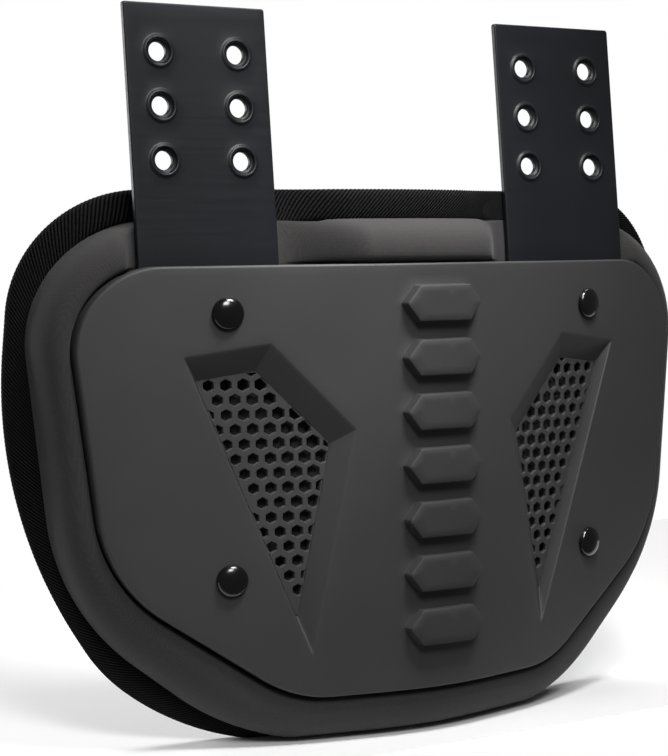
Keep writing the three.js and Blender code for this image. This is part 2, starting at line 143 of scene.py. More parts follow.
# Binding tape folded round the flange: (inset from the outer edge, distance behind the face)
TAPE_SECTION = [
    (12.4, 25.0), (12.8, 24.3), (12.5, 23.6), (11.4, 23.2), (9.2, 22.9), (6.9, 22.8),
    (4.7, 22.9), (2.8, 23.2), (1.5, 23.8), (0.55, 24.7), (0.1, 25.8), (0.0, 26.8),
    (0.1, 27.8), (0.55, 28.9), (1.5, 29.8), (2.8, 30.4), (4.6, 30.7), (6.6, 30.8),
    (8.6, 30.7), (10.4, 30.4), (11.2, 30.0), (11.4, 29.3), (11.0, 28.6),
]
# Inside of the fold: (inset, distance behind the face, least distance from a strap's back)
TAPE_INSIDE = [(3.0, 28.0, 1.2), (3.0, 25.6, 0.75)]
TAPE_RIB = 1.8
TAPE_RIB_SAMPLES = 6
TAPE_RIB_HEIGHT = 0.28
TAPE_RIB_SLANT = 1.1
TAPE_RIB_FADE = 2
# Further behind the face than the tape's front, the roll keeps inside the tape's inner edge
TAPE_FRONT = 21.9
TAPE_SEAM = 13.5

# Straps, right side; their places along are measured from the shell's top
STRAP_X = 89.8
STRAP_Y = 33.0
STRAP_LEAN = math.radians(5.7)
STRAP_HALF = 31.75
STRAP_THICKNESS = 3.0
STRAP_FOOT = -38.0
STRAP_LENGTH = 105.8
STRAP_FOLD = 8.0
STRAP_CLIP = 9.0
STRAP_CORNER = 1.2
STRAP_EDGE = 0.7
STRAP_PITCH = 3.6
STRAP_SIDE_STEPS = 30
# The shell's back makes room this far round a strap
STRAP_POCKET = 7.5

# Bolt holes with a raised collar: (radius, distance behind the strap's face)
HOLE_COLUMNS = [-17.5, 17.5]
HOLE_ROWS = [42.4, 64.3, 86.2]
HOLE_SIDES = 56
HOLE_SECTION = [
    (7.5, 0.0), (6.9, -0.12), (6.5, -0.5), (6.1, -0.78), (5.7, -0.8), (5.35, -0.55), (5.15, -0.1),
    (4.95, 0.3), (4.5, 0.6), (4.1, 0.75), (3.9, 1.0), (3.85, 1.3), (3.85, 2.7), (4.15, 3.0),
]

# Foam is fully pressed this near a strap's sides, and slopes off to a reach at each side
PRESS_NEAR = 2.0
PRESS_OUTER = 7.0
PRESS_INNER = 30.0
# The same below a strap's foot
PRESS_FOOT = 7.0
PRESS_BELOW = 16.0
# Pressed layers keep their order: least distances from a strap's back, the first also from its front
PRESS_CLEAR = 0.45
FLANGE_FRONT_CLEAR = 0.9
FLANGE_BACK_CLEAR = 1.05
TAPE_CLEAR_DEPTHS = [25.0, 28.6]
TAPE_CLEAR = [PRESS_CLEAR, 1.4]

# Rivets, right side, square to the shell's face, with their holes and the pad's pockets for their tails
RIVET_X = 89.8
RIVET_HEIGHTS = {"top": 180.9, "bottom": 73.3}
RIVET_HEAD = 6.6
RIVET_DOME = 2.6
RIVET_DOME_RINGS = 14
RIVET_RIM = 0.8
RIVET_LIP = 0.15
RIVET_BEVEL = 0.2
RIVET_SHOULDER = 0.12
RIVET_GAP = 0.3
RIVET_SHANK = 3.0
RIVET_TAIL = 6.0
RIVET_TAIL_START = 20.6
RIVET_TAIL_END = 21.8
RIVET_TIP = 0.02
RIVET_SIDES = 64
RIVET_HOLE = 3.4
POCKET_DEPTH = 23.2
POCKET_FULL = 14.0
POCKET_REACH = 20.0

# Finishes: darkest and lightest screen grey, from 0 to 255, and tints
SHELL_TONES = (56, 61)
GRILLE_TONES = (56, 62)
PAD_TONES = (55, 66)
PAD_TINT = (1.0, 0.96, 0.95)
# The tape's darkest grey is painted shade in the rib grooves, and its lightest is a painted highlight on the
# rib crests
TAPE_SHADE_AND_HIGHLIGHT_TONES = (6, 38)
STRAP_TONES = (30, 34)
STRAP_TINT = (0.93, 1.0, 1.2)
RIVET_TONES = (10, 16)
SCREEN_GAMMA = 2.2
FLOOR_COLOUR = (0.92, 0.92, 0.92, 1.0)

# Cloth: the knit's pitch and its share of the tone, and what is added to the fuzz in the painted highlight on
# the tape's ribs
KNIT_PITCH = 1.05
KNIT_SHARE = 0.45
RIB_HIGHLIGHT_BASE = 0.45

# Camera: the photo's own view, fitted on the shell's outline
CAMERA_YAW = math.radians(30.0)
CAMERA_RISE = math.radians(3.82)
CAMERA_ROLL = math.radians(-0.72)
CAMERA_DISTANCE = 742.5
CAMERA_TARGET = (-51.65, 0.0, 154.42)
CAMERA_LENS = 88.05
CAMERA_CLIP = 10.0

# Lights: name, place, target and size in metres, power in watts, spread in degrees
LIGHTS = [
    ("key", (0.0, -0.22, 0.56), (-0.01, 0.0, 0.18), (0.16, 0.1), 0.33, 55.0),
    ("front", (-0.3, -1.0, 1.0), (0.05, 0.1, 0.0), (0.4, 0.4), 9.0, 180.0),
    ("overhead", (0.42, 0.5, 1.5), (0.3, 0.35, 0.0), (1.0, 0.6), 16.5, 180.0),
    ("left_strip", (-0.6, 0.8, 0.3), (-0.1, 0.0, 0.22), (0.3, 0.7), 6.0, 180.0),
]

# Light of the backdrop, and the floor's corners in metres
WORLD_LIGHT = 0.1
FLOOR_LOW = (-0.4, -0.045)
FLOOR_HIGH = (0.6, 0.4)

# The plate's frame in the shared frame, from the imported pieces
PLATE_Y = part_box("strap_left")[0].y / MM - STRAP_Y
PLATE_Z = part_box("shell")[1].z / MM - SHELL_TOP
PLATE_PLACE = np.array([0.0, PLATE_Y, PLATE_Z])


def shared(points):
    """Points of the plate's frame in metres in the shared frame."""
    return (np.asarray(points) + PLATE_PLACE) * MM


def bend_y(x):
    return BEND_DEPTH * (np.sqrt(1 + (np.asarray(x) / BEND_REACH) ** 2) - 1)


def bend_slope(x):
    return BEND_DEPTH * x / (BEND_REACH ** 2 * math.sqrt(1 + (x / BEND_REACH) ** 2))


def smooth(share):
    """A share from 0 to 1, eased at both ends."""
    return share ** 2 * (3 - 2 * share)


# Where the right rivets meet the shell's face
RIVET_Y = float(bend_y(RIVET_X))
RIVET_SLOPE = bend_slope(RIVET_X)


def rivet_line_x(y):
    """Where the right rivets' middle lines are at a distance behind the front of the spine."""
    return RIVET_X - RIVET_SLOPE * (y - RIVET_Y)


# Loops in the front view

def offset_loop(loop, by):
    """A clockwise loop of (x, z) corners moved out by a distance; a minus sign moves it in."""
    corners = np.asarray(loop, float)
    along = np.roll(corners, -1, axis=0) - corners
    along /= np.linalg.norm(along, axis=1)[:, None]
    normal = np.stack([-along[:, 1], along[:, 0]], axis=1)
    reach = (normal * corners).sum(axis=1) + by
    moved = []
    for i in range(len(corners)):
        lines = np.array([normal[i - 1], normal[i]])
        moved.append(np.linalg.solve(lines, [reach[i - 1], reach[i]]))
    return np.array(moved)


def grown(corners, by):
    """A half outline grown all round, with its corner radii."""
    loop = [(x, z) for x, z, radius in corners] + [(-x, z) for x, z, radius in reversed(corners)]
    moved = offset_loop(loop, by)
    return [(moved[i][0], moved[i][1], corners[i][2] + by) for i in range(len(corners))]


def corner_arc(before, corner, after, radius):
    """Start point, end point, centre, start angle and turn of the arc at a corner."""
    corner = np.asarray(corner, float)
    back = np.asarray(before, float) - corner
    on = np.asarray(after, float) - corner
    back /= np.linalg.norm(back)
    on /= np.linalg.norm(on)
    half_turn = (math.pi - math.acos(float(np.clip(back @ on, -1, 1)))) / 2
    reach = radius * math.tan(half_turn)
    middle = (back + on) / np.linalg.norm(back + on)
    centre = corner + middle * radius / math.cos(half_turn)
    start = corner + back * reach
    end = corner + on * reach
    angle = math.atan2(*(start - centre)[::-1])
    return start, end, centre, angle, -2 * half_turn


def straight_points(start, end, count, bow):
    """Points of a straight run without its end, bowed out a little; a minus sign bows it in."""
    shares = np.arange(count) / count
    along = (end - start) / np.linalg.norm(end - start)
    out = np.array([-along[1], along[0]])
    return start + np.outer(shares, end - start) + np.outer(4 * bow * shares * (1 - shares), out)


def arc_points(arc, radius, count):
    centre, angle, turn = arc[2:]
    angles = angle + turn * np.linspace(0, 1, count + 1)
    return centre + radius * np.stack([np.cos(angles), np.sin(angles)], axis=1)


def outline_arcs(corners):
    stops = [(0.0, corners[0][1])] + [(x, z) for x, z, radius in corners] + [(0.0, corners[-1][1])]
    return [corner_arc(*stops[i:i + 3], corners[i][2]) for i in range(len(corners))]


def outline(corners, inset=0.0, step=OUTLINE_STEP):
    """A whole outline as a clockwise loop from the middle of the top; insets of one outline match."""
    moved_corners = grown(corners, -inset)
    plain = outline_arcs(corners)
    moved = outline_arcs(moved_corners)
    right = []
    plain_at = np.array([0.0, corners[0][1]])
    moved_at = np.array([0.0, moved_corners[0][1]])
    for i in range(len(corners)):
        count = max(1, math.ceil(np.linalg.norm(plain[i][0] - plain_at) / step))
        right += list(straight_points(moved_at, moved[i][0], count, -RUN_BOW))
        count = max(LEAST_ARC_STEPS, math.ceil(abs(plain[i][4]) * corners[i][2] / step))
        right += list(arc_points(moved[i], moved_corners[i][2], count)[:-1])
        plain_at = plain[i][1]
        moved_at = moved[i][1]
    last = np.array([0.0, moved_corners[-1][1]])
    count = max(1, math.ceil(plain_at[0] / step))
    right += list(straight_points(moved_at, last, count, -RUN_BOW))
    right = np.array(right + [last])
    left = right[-2:0:-1] * [-1, 1]
    return np.concatenate([right, left])


def rounded(corners, radius, pieces, bow):
    """A loop with an arc at each corner; loops with the same pieces match point for point."""
    corners = np.asarray(corners, float)
    total = len(corners)
    arcs = [corner_arc(corners[i - 1], corners[i], corners[(i + 1) % total], radius) for i in range(total)]
    points = []
    for i in range(total):
        points += list(arc_points(arcs[i], radius, CORNER_STEPS))
        start = arcs[i][1]
        end = arcs[(i + 1) % total][0]
        points += list(straight_points(start, end, pieces, bow)[1:])
    return np.array(points)


def round_loop(middle, radius):
    circle = np.linspace(0, 2 * math.pi, HOLE_SIDES, endpoint=False)
    return np.array(middle) + radius * np.stack([np.sin(circle), np.cos(circle)], axis=1)


def ray_turn(loop):
    """The angle of each of a loop's points round the rays' middle, from the top."""
    x, z = (loop - RAY_MIDDLE).T
    return np.unwrap(np.arctan2(x, z))


def ray_ring(corners, inset, angles):
    """The points of an outline on rays from the plate's middle, flat where the plate stands."""
    loop = outline(grown(corners, -inset), step=RAY_STEP)
    turn = ray_turn(loop)
    loop = np.concatenate([loop, loop[:1]])
    turn = np.concatenate([turn, [turn[0] + 2 * math.pi]])
    at = np.clip(np.searchsorted(turn, angles % (2 * math.pi), side="right") - 1, 0, len(turn) - 2)
    start = loop[at] - RAY_MIDDLE
    along = loop[at + 1] - loop[at]
    ray = np.stack([np.sin(angles), np.cos(angles)], axis=1)
    cross = along[:, 0] * ray[:, 1] - along[:, 1] * ray[:, 0]
    share = -(start[:, 0] * ray[:, 1] - start[:, 1] * ray[:, 0]) / cross
    points = loop[at] + along * share[:, None]
    points[:, 1] = np.maximum(points[:, 1], REST_HEIGHT + inset)
    return points


def walked_outline(corners):
    """An outline as a closed loop, and the distance walked along it at each point."""
    loop = outline(corners, step=RAY_STEP)
    closed = np.concatenate([loop, loop[:1]])
    return closed, walked_line(closed)


def walked_line(points):
    steps = np.linalg.norm(np.diff(points, axis=0), axis=1)
    return np.concatenate([[0], np.cumsum(steps)])


def even_angles(corners, count, shift=0.0):
    """Ray angles at even steps along an outline, from a shifted start."""
    closed, walked = walked_outline(corners)
    length = walked[-1]
    at = np.arange(count) * length / count + shift
    laps = np.floor(at / length)
    return np.interp(at - laps * length, walked, ray_turn(closed)) + 2 * math.pi * laps


def inside(points, loop):
    result = np.zeros(len(points), bool)
    ends = np.roll(loop, -1, axis=0)
    for (x0, z0), (x1, z1) in zip(loop, ends):
        if z0 == z1:
            continue
        crosses = (z0 > points[:, 1]) != (z1 > points[:, 1])
        where = x0 + (points[:, 1] - z0) * (x1 - x0) / (z1 - z0)
        result ^= crosses & (points[:, 0] < where)
    return result


# Surfaces: each is a pair of points and faces

def on_bend(loop, behind):
    return np.stack([loop[:, 0], bend_y(loop[:, 0]) + behind, loop[:, 1]], axis=1)


def strip(rings, closed=False):
    """Quads between matched rings; a closed strip joins its last ring to its first."""
    count = len(rings[0])
    faces = []
    for k in range(len(rings) if closed else len(rings) - 1):
        a = k * count
        b = (k + 1) % len(rings) * count
        faces += [(a + i, a + (i + 1) % count, b + (i + 1) % count, b + i) for i in range(count)]
    return np.concatenate(rings), faces


def capped(rings):
    """A strip with a face over its first ring and one over its last."""
    points, faces = strip(rings)
    count = len(rings[0])
    faces.append(tuple(range(count)))
    faces.append(tuple(range(len(points) - count, len(points))))
    return points, faces


def triangulated(loops, seeds):
    coords = []
    edges = []
    for loop in loops:
        first = len(coords)
        coords += [Vector(point) for point in loop]
        edges += [(first + i, first + (i + 1) % len(loop)) for i in range(len(loop))]
    coords += [Vector(point) for point in seeds]
    result = geometry.delaunay_2d_cdt(coords, edges, [], 0, FLAT_TOLERANCE)
    points = np.array([tuple(point) for point in result[0]])
    faces = np.array([tuple(face) for face in result[2]])
    return points, faces


def seed_grid(outer, holes, pitch):
    """Staggered points inside a loop, clear of the loops themselves."""
    low = outer.min(axis=0)
    high = outer.max(axis=0)
    row_pitch = pitch * math.sqrt(3) / 2
    grid = []
    for row in range(1, int((high[1] - low[1]) / row_pitch) + 1):
        first = low[0] + pitch * (0.5 if row % 2 else 1.0)
        grid += [(x, low[1] + row * row_pitch) for x in np.arange(first, high[0], pitch)]
    grid = np.array(grid)
    keep = inside(grid, outer)
    for hole in holes:
        keep &= ~inside(grid, hole)
    rims = np.concatenate([outer] + holes)
    tree = kdtree.KDTree(len(rims))
    for i, (x, z) in enumerate(rims):
        tree.insert((x, z, 0), i)
    tree.balance()
    clear = SEED_CLEAR * pitch
    return np.array([(x, z) for x, z in grid[keep] if tree.find((x, z, 0))[2] > clear])


def patch(outer, holes, pitch, lift):
    """A triangulated area inside a loop and outside its holes; lift puts it in space."""
    points, faces = triangulated([outer] + holes, seed_grid(outer, holes, pitch))
    middles = points[faces].mean(axis=1)
    keep = inside(middles, outer)
    for hole in holes:
        keep &= ~inside(middles, hole)
    return lift(points), [tuple(face) for face in faces[keep]]


def mirrored(surface):
    points, faces = surface
    return points * [-1, 1, 1], faces


def handed(surface, side):
    """A right side's surface, mirrored for the left."""
    return surface if side == "right" else mirrored(surface)


def edge_rings(radius):
    """Inset and distance behind the face of the rings of a rounded edge, from the face to the side."""
    angles = [math.pi / 2 * (1 - k / EDGE_STEPS) for k in range(EDGE_STEPS + 1)]
    return [(radius * (1 - math.cos(angle)), radius * (1 - math.sin(angle))) for angle in angles]


def make_piece(name, surfaces, material, sharp_angle=SHARP_ANGLE):
    """One welded mesh in the shared frame, smooth except at edges sharper than an angle."""
    points = np.concatenate([part[0] for part in surfaces])
    faces = []
    first = 0
    for part_points, part_faces in surfaces:
        faces += [tuple(int(i) + first for i in face) for face in part_faces]
        first += len(part_points)
    mesh = bpy.data.meshes.new(name)
    mesh.from_pydata(shared(points).tolist(), [], faces)
    work = bmesh.new()
    work.from_mesh(mesh)
    bmesh.ops.remove_doubles(work, verts=work.verts, dist=WELD * MM)
    bmesh.ops.dissolve_degenerate(work, edges=work.edges, dist=SLIVER * MM)
    bmesh.ops.recalc_face_normals(work, faces=work.faces)
    work.to_mesh(mesh)
    work.free()
    mesh.shade_smooth()
    mesh.set_sharp_from_angle(angle=math.radians(sharp_angle))
    piece = bpy.data.objects.new(name, mesh)
    bpy.context.scene.collection.objects.link(piece)
    piece.data.materials.append(material)
    return piece


# Straps

def strap_set_back(along):
    """How far a strap leans back at a distance above the shell's top."""
    bent = np.clip(along, 0, STRAP_FOLD)
    free = np.maximum(0, along - STRAP_FOLD)
    return math.tan(STRAP_LEAN) * (bent ** 2 / (2 * STRAP_FOLD) + free)


def strap_front_y(z):
    """The straps' front faces at a height."""
    return STRAP_Y + strap_set_back(z - SHELL_TOP)


def strap_points(flat, behind):
    """Points of the right strap from (across, along) places and a distance behind its face."""
    across, along = flat.T
    return np.stack([STRAP_X + across, STRAP_Y + behind + strap_set_back(along), SHELL_TOP + along], axis=1)


def pressed(points, clear=PRESS_CLEAR):
    """Soft layers pressed back behind the straps, with a slope at their sides and feet."""
    x, y, z = points.T
    across = np.abs(x) - STRAP_X
    reach = np.where(across > 0, PRESS_OUTER, PRESS_INNER)
    near = np.clip((reach - np.abs(across) + STRAP_HALF) / (reach - PRESS_NEAR), 0, 1)
    low = np.clip((z - SHELL_TOP - STRAP_FOOT + PRESS_BELOW) / (PRESS_BELOW - PRESS_FOOT), 0, 1)
    room = strap_front_y(z) + STRAP_THICKNESS + clear
    moved = points.copy()
    moved[:, 1] = y + smooth(near) * smooth(low) * np.maximum(0, room - y)
    return moved


def strap_holes():
    """The right strap's holes, each as a list of (loop, distance behind the face)."""
    holes = []
    for across in HOLE_COLUMNS:
        for along in HOLE_ROWS:
            holes.append([(round_loop((across, along), radius), behind) for radius, behind in HOLE_SECTION])
    rivet_along = RIVET_HEIGHTS["top"] - SHELL_TOP
    rivet_hole = []
    for behind in (0.0, STRAP_THICKNESS):
        rivet_across = rivet_line_x(STRAP_Y + behind) - STRAP_X
        rivet_hole.append((round_loop((rivet_across, rivet_along), RIVET_HOLE), behind))
    return holes + [rivet_hole]


def strap_surfaces():
    half = STRAP_HALF
    shoulder = STRAP_FOOT + STRAP_CLIP
    corners = [
        (-half, shoulder), (-half, STRAP_LENGTH), (half, STRAP_LENGTH),
        (half, shoulder), (half - STRAP_CLIP, STRAP_FOOT), (STRAP_CLIP - half, STRAP_FOOT),
    ]
    rings = []
    for inset, behind in edge_rings(STRAP_EDGE):
        loop = rounded(offset_loop(corners, -inset), STRAP_CORNER, STRAP_SIDE_STEPS, -RUN_BOW)
        rings.append((loop, behind))
    rings += [(loop, STRAP_THICKNESS - behind) for loop, behind in reversed(rings)]
    holes = strap_holes()
    surfaces = [strip([strap_points(loop, behind) for loop, behind in part]) for part in [rings] + holes]
    flat = rings[0][0]
    front_holes = [hole[0][0] for hole in holes]
    back_holes = [hole[-1][0] for hole in holes]
    surfaces.append(patch(flat, front_holes, STRAP_PITCH, lambda at: strap_points(at, 0.0)))
    surfaces.append(patch(flat, back_holes, STRAP_PITCH, lambda at: strap_points(at, STRAP_THICKNESS)))
    return surfaces


# Shell

def on_vent_floor(loop, behind=0.0):
    """Points at the flat sloped floor of the right pocket, or behind it."""
    inner = VENT_FLOOR[1][0]
    outer = VENT_FLOOR[3][0]
    slope = (bend_y(outer) - bend_y(inner)) / (outer - inner)
    floor_y = bend_y(inner) + VENT_DEPTH + slope * (loop[:, 0] - inner)
    return np.stack([loop[:, 0], floor_y + behind, loop[:, 1]], axis=1)


def shell_back(points):
    """Points on the shell's back, cleared where a strap passes behind it."""
    x, y, z = points.T
    beside = np.abs(np.abs(x) - STRAP_X) < STRAP_HALF + STRAP_POCKET
    behind_strap = beside & (z > SHELL_TOP + STRAP_FOOT - STRAP_POCKET)
    room = strap_front_y(np.minimum(z, SHELL_TOP)) - PRESS_CLEAR
    moved = points.copy()
    moved[:, 1] = np.where(behind_strap, np.minimum(y, room), y)
    return moved


def vent_surface(lip_loop, floor_loop):
    """One pocket's rim, walls and window, from the shell's face to its back."""
    lip = on_bend(lip_loop, 0.0)
    rim = on_bend(rounded(VENT_RIM, VENT_ROUND, VENT_SIDE_STEPS, RUN_BOW), 0.0)
    floor = on_vent_floor(floor_loop)
    shoulder = rim + (floor - rim) * VENT_SHOULDER
    rings = []
    for t in np.linspace(0, 1, VENT_LIP_RINGS):
        rings.append((1 - t) ** 2 * lip + 2 * t * (1 - t) * rim + t ** 2 * shoulder)
    rings += [(rim + floor) / 2, floor, on_bend(floor_loop, SHELL_DEPTH)]
    return strip(rings)


def bar_loop(height, by, bow):
    inner = BAR_HALF_WIDTH - BAR_POINT
    top = height + BAR_HALF_HEIGHT
    bottom = height - BAR_HALF_HEIGHT
    loop = [
        (-BAR_HALF_WIDTH, height), (-inner, top), (inner, top),
        (BAR_HALF_WIDTH, height), (inner, bottom), (-inner, bottom),
    ]
    return rounded(offset_loop(loop, by), BAR_ROUND + max(by, 0), BAR_SIDE_STEPS, bow)


def shell_surfaces():
    edge = [(outline(SHELL_OUTLINE, inset), behind) for inset, behind in edge_rings(SHELL_EDGE)]
    rings = [on_bend(loop, behind) for loop, behind in edge]
    rings += [shell_back(on_bend(loop, SHELL_DEPTH - behind)) for loop, behind in reversed(edge)]
    surfaces = [strip(rings)]

    lip_loop = rounded(offset_loop(VENT_RIM, VENT_LIP), VENT_ROUND + VENT_LIP, VENT_SIDE_STEPS, RUN_BOW)
    floor_loop = rounded(VENT_FLOOR, VENT_ROUND, VENT_SIDE_STEPS, RUN_BOW)
    vent = vent_surface(lip_loop, floor_loop)
    surfaces += [vent, mirrored(vent)]
    front_holes = [lip_loop, lip_loop * [-1, 1]]
    back_holes = [floor_loop, floor_loop * [-1, 1]]

    bows = np.linspace(RUN_BOW, -RUN_BOW, len(BAR_PROFILE))
    for height in BAR_HEIGHTS:
        loops = [(bar_loop(height, by, bow), behind) for (by, behind), bow in zip(BAR_PROFILE, bows)]
        surfaces.append(strip([on_bend(loop, behind) for loop, behind in loops]))
        top_loop, top = loops[-1]
        surfaces.append(patch(top_loop, [], FACE_PITCH, lambda at, top=top: on_bend(at, top)))
        front_holes.append(loops[0][0])

    back_x = rivet_line_x(RIVET_Y + SHELL_DEPTH / (1 + RIVET_SLOPE ** 2))
    for height in RIVET_HEIGHTS.values():
        front_hole = round_loop((RIVET_X, height), RIVET_HOLE)
        back_hole = round_loop((back_x, height), RIVET_HOLE)
        wall = strip([on_bend(front_hole, 0.0), shell_back(on_bend(back_hole, SHELL_DEPTH))])
        surfaces += [wall, mirrored(wall)]
        front_holes += [front_hole, front_hole * [-1, 1]]
        back_holes += [back_hole, back_hole * [-1, 1]]

    face = edge[0][0]
    surfaces.append(patch(face, front_holes, FACE_PITCH, lambda at: on_bend(at, 0.0)))
    surfaces.append(patch(face, back_holes, 2 * FACE_PITCH, lambda at: shell_back(on_bend(at, SHELL_DEPTH))))
    return surfaces


# Vent meshes

def hexagon(x, z, across_flats):
    angles = math.pi / 6 - np.arange(6) * math.pi / 3
    radius = across_flats / math.sqrt(3)
    return np.stack([x + radius * np.cos(angles), z + radius * np.sin(angles)], axis=1)


def hexagon_reach(points, x, z):
    """How far points lie from a hexagon's middle, measured across its flats."""
    angles = np.arange(3) * math.pi / 3
    away = np.outer(points[:, 0] - x, np.cos(angles)) + np.outer(points[:, 1] - z, np.sin(angles))
    return 2 * np.abs(away).max(axis=1)


def grille_holes(loop):
    """Middles and sizes of the mesh's holes, smaller towards the outer side and cut by the walls."""
    apex_x, apex_z = VENT_FLOOR[0]
    inner_x = VENT_FLOOR[1][0]
    outer_x, outer_z = VENT_FLOOR[3]
    row_pitch = HEX_PITCH * math.sqrt(3) / 2
    rows = int((outer_z - apex_z) / row_pitch) + HEX_SPARE
    columns = int((outer_x - inner_x) / HEX_PITCH) + HEX_SPARE
    found = []
    for row in range(-1, rows):
        z = apex_z + row * row_pitch
        edge_x = np.interp(z, [apex_z, outer_z], [apex_x, outer_x])
        for column in range(-1, columns):
            x = inner_x + (column + row % 2 / 2) * HEX_PITCH
            share = np.clip(HEX_GROWTH * (edge_x - x) / (outer_x - inner_x), 0, 1)
            size = HEX_OUTER + (HEX_INNER - HEX_OUTER) * share
            if inside(np.array([[x, z]]), offset_loop(loop, size * HEX_OVERHANG))[0]:
                found.append((x, z, size))
    return found


def open_edges(faces):
    """The edges that only one triangle has, in its direction."""
    found = {}
    for a, b, c in faces:
        for start, end in ((a, b), (b, c), (c, a)):
            if (end, start) in found:
                del found[(end, start)]
            else:
                found[(start, end)] = True
    return list(found)


def grille_surface():
    border = rounded(offset_loop(VENT_FLOOR, -GRILLE_GAP), VENT_ROUND, 1, RUN_BOW)
    frame_loop = offset_loop(VENT_FLOOR, -GRILLE_GAP - GRILLE_FRAME)
    holes = grille_holes(frame_loop)
    loops = [border, frame_loop]
    for x, z, size in holes:
        loops += [hexagon(x, z, size), hexagon(x, z, size + 2 * HEX_CHAMFER)]
    flat, faces = triangulated(loops, [])
    middles = flat[faces].mean(axis=1)
    keep = inside(middles, border)
    in_frame = inside(middles, frame_loop)
    sunk = np.zeros(len(flat))
    for x, z, size in holes:
        keep &= ~((hexagon_reach(middles, x, z) < size) & in_frame)
        on_hole = np.abs(hexagon_reach(flat, x, z) - size) < HEX_TOUCH
        sunk = np.where(on_hole, HEX_CHAMFER, sunk)
    kept = faces[keep]
    total = len(flat)
    solid = [tuple(face) for face in kept]
    solid += [(a + total, c + total, b + total) for a, b, c in kept]
    solid += [(end, start, start + total, end + total) for start, end in open_edges(kept)]
    used = sorted({i for face in solid for i in face})
    renumber = {old: new for new, old in enumerate(used)}
    points = np.concatenate([on_vent_floor(flat, sunk), on_vent_floor(flat, GRILLE_THICKNESS)])[used]
    return points, [tuple(renumber[i] for i in face) for face in solid]


# Pad and binding

def tucked(loop, behind, seam):
    """A ring of the roll, pressed by the straps, inside the tape's seam where it is behind its front."""
    ring = pressed(on_bend(loop, behind))
    deep = ring[:, 1] - bend_y(ring[:, 0]) > TAPE_FRONT
    away = loop - RAY_MIDDLE
    room = np.linalg.norm(seam - RAY_MIDDLE, axis=1) / np.linalg.norm(away, axis=1)
    share = np.where(deep, np.minimum(1, room), 1)
    return pressed(on_bend(RAY_MIDDLE + away * share[:, None], behind))


def pocketed(points):
    """Points of the pad's hidden front, with a pocket round each rivet's tail."""
    floor = RIVET_Y + POCKET_DEPTH
    tail_x = rivet_line_x(RIVET_Y + RIVET_TAIL_START)
    moved = points.copy()
    for height in RIVET_HEIGHTS.values():
        away = np.hypot(np.abs(points[:, 0]) - tail_x, points[:, 2] - height)
        near = np.clip((POCKET_REACH - away) / (POCKET_REACH - POCKET_FULL), 0, 1)
        moved[:, 1] += smooth(near) * np.maximum(0, floor - moved[:, 1])
    return moved


def pad_surface():
    """The pad from the middle of its front, round the roll and the flange, to the middle of its back."""
    angles = even_angles(ROLL_OUTLINE, PAD_STEPS)
    shell = ray_ring(SHELL_OUTLINE, 0.0, angles)
    roll = ray_ring(ROLL_OUTLINE, 0.0, angles)
    seam = ray_ring(FLANGE_OUTLINE, TAPE_SEAM, angles)
    backs = [(ray_ring(FLANGE_OUTLINE, inset, angles), behind) for inset, behind in PAD_BACK]
    base = backs[0][0]
    first_share, first_behind = ROLL_SECTION[0]
    first = shell + (roll - shell) * first_share - RAY_MIDDLE
    last = backs[-1][0] - RAY_MIDDLE

    fronts = [on_bend(RAY_MIDDLE + first * share, first_behind) for share in reversed(PAD_MIDDLE_SHARES)]
    rings = [pocketed(pressed(ring)) for ring in fronts]
    rings += [tucked(shell + (roll - shell) * share, behind, seam) for share, behind in ROLL_SECTION]
    rings += [tucked(roll + (base - roll) * share, behind, seam) for share, behind in ROLL_BACK[:-1]]
    rings.append(pressed(on_bend(base, ROLL_BACK[-1][1]), FLANGE_FRONT_CLEAR))
    rings += [pressed(on_bend(loop, behind), FLANGE_BACK_CLEAR) for loop, behind in backs]
    rings += [on_bend(RAY_MIDDLE + last * share, PAD_BACK[-1][1]) for share in PAD_MIDDLE_SHARES]
    return capped(rings)


def tape_surface():
    """The folded tape with raised diagonal ribs, and each point's share of a rib's height."""
    length = walked_outline(FLANGE_OUTLINE)[1][-1]
    count = round(length / TAPE_RIB) * TAPE_RIB_SAMPLES
    wave = 0.5 + 0.5 * np.cos(2 * math.pi * np.arange(count) / TAPE_RIB_SAMPLES)
    section = np.array(TAPE_SECTION)
    slide = walked_line(section) * TAPE_RIB_SLANT
    tangent = np.gradient(section, axis=0)
    tangent /= np.linalg.norm(tangent, axis=1)[:, None]
    rings = []
    # Each ring starts further on than the last, so that the mesh's columns follow the slanted ribs
    for k, (inset, behind) in enumerate(TAPE_SECTION):
        angles = even_angles(FLANGE_OUTLINE, count, slide[k])
        near_end = min(k, len(TAPE_SECTION) - 1 - k)
        rise = TAPE_RIB_HEIGHT * min(1.0, near_end / TAPE_RIB_FADE) * (wave - 0.5)
        out_inset = tangent[k][1]
        out_behind = -tangent[k][0]
        plain = ray_ring(FLANGE_OUTLINE, inset, angles)
        one_further_in = ray_ring(FLANGE_OUTLINE, inset + 1, angles)
        loop = plain - (one_further_in - plain) * (rise * out_inset)[:, None]
        clear = np.interp(behind, TAPE_CLEAR_DEPTHS, TAPE_CLEAR)
        ring = pressed(on_bend(loop, behind - rise * out_behind), clear)
        ring[:, 2] = np.maximum(ring[:, 2], REST_HEIGHT)
        rings.append(ring)
    for k, (inset, behind, clear) in enumerate(TAPE_INSIDE):
        turned_back = slide[-1] * (1 - (k + 1) / (len(TAPE_INSIDE) + 1))
        loop = ray_ring(FLANGE_OUTLINE, inset, even_angles(FLANGE_OUTLINE, count, turned_back))
        rings.append(pressed(on_bend(loop, behind), clear))
    return strip(rings, closed=True), np.tile(wave, len(rings))


def mark_ribs(tape, points, heights):
    """Gives each of the tape's vertices the rib height of the point that it was made from."""
    tree = kdtree.KDTree(len(points))
    for index, point in enumerate(shared(points)):
        tree.insert(point, index)
    tree.balance()
    # The tape's colour reads these heights to paint a highlight on the rib crests and shade in the grooves
    rib = tape.data.attributes.new("rib", "FLOAT", "POINT")
    for vertex in tape.data.vertices:
        rib.data[vertex.index].value = heights[tree.find(vertex.co)[1]]


# Rivets

